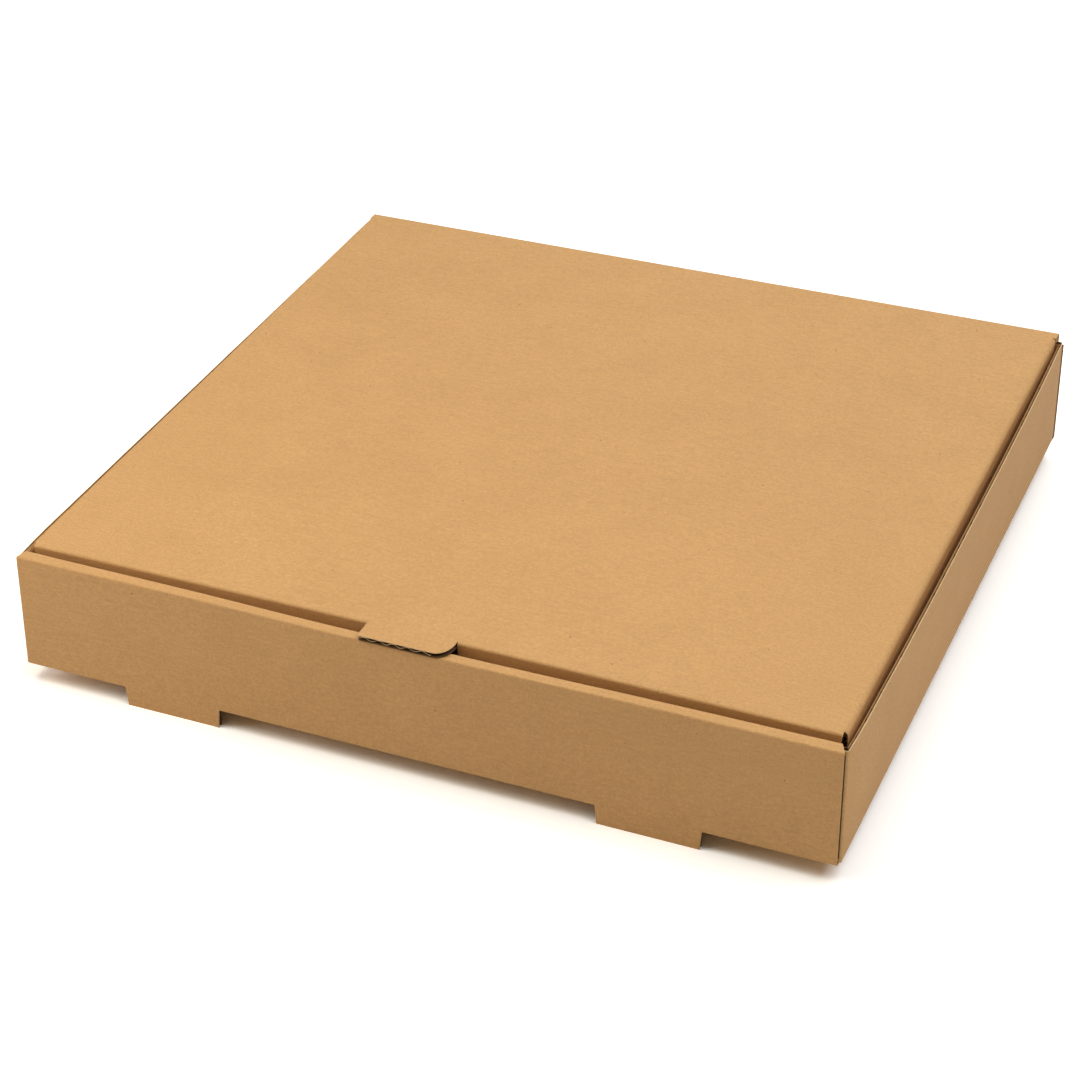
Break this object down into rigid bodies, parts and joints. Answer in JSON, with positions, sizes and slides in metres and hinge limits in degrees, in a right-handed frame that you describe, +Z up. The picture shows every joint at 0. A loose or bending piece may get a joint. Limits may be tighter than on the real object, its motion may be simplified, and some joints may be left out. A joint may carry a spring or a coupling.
{
  "type": "pizza box",
  "caption": "Shallow corrugated board box with a double front wall, two lift feet, and a hinged lid with three tucked flaps and a thumb tab",
  "frame": {"origin": "on the ground under the middle of the closed box, at the level of the feet's lower edges", "axes": "+X runs to the right along the front wall, +Y from the thumb tab to the hinge crease, +Z up"},
  "size_m": [0.3674, 0.349, 0.0651],
  "materials": {
    "tray_board": "natural kraft corrugated board, matt, with fine fibres",
    "lid_board": "natural kraft corrugated board, matt, with fine fibres"
  },
  "bodies": {
    "tray": {"tray": "tray_board"},
    "lid": {"lid": "lid_board"}
  },
  "joints": [
    {"name": "lid_hinge", "type": "hinge", "parent": "tray", "child": "lid", "pos_m": [0, 0.17408, 0.06463], "axis": [-1, 0, 0], "range_deg": [0, 180]}
  ]
}
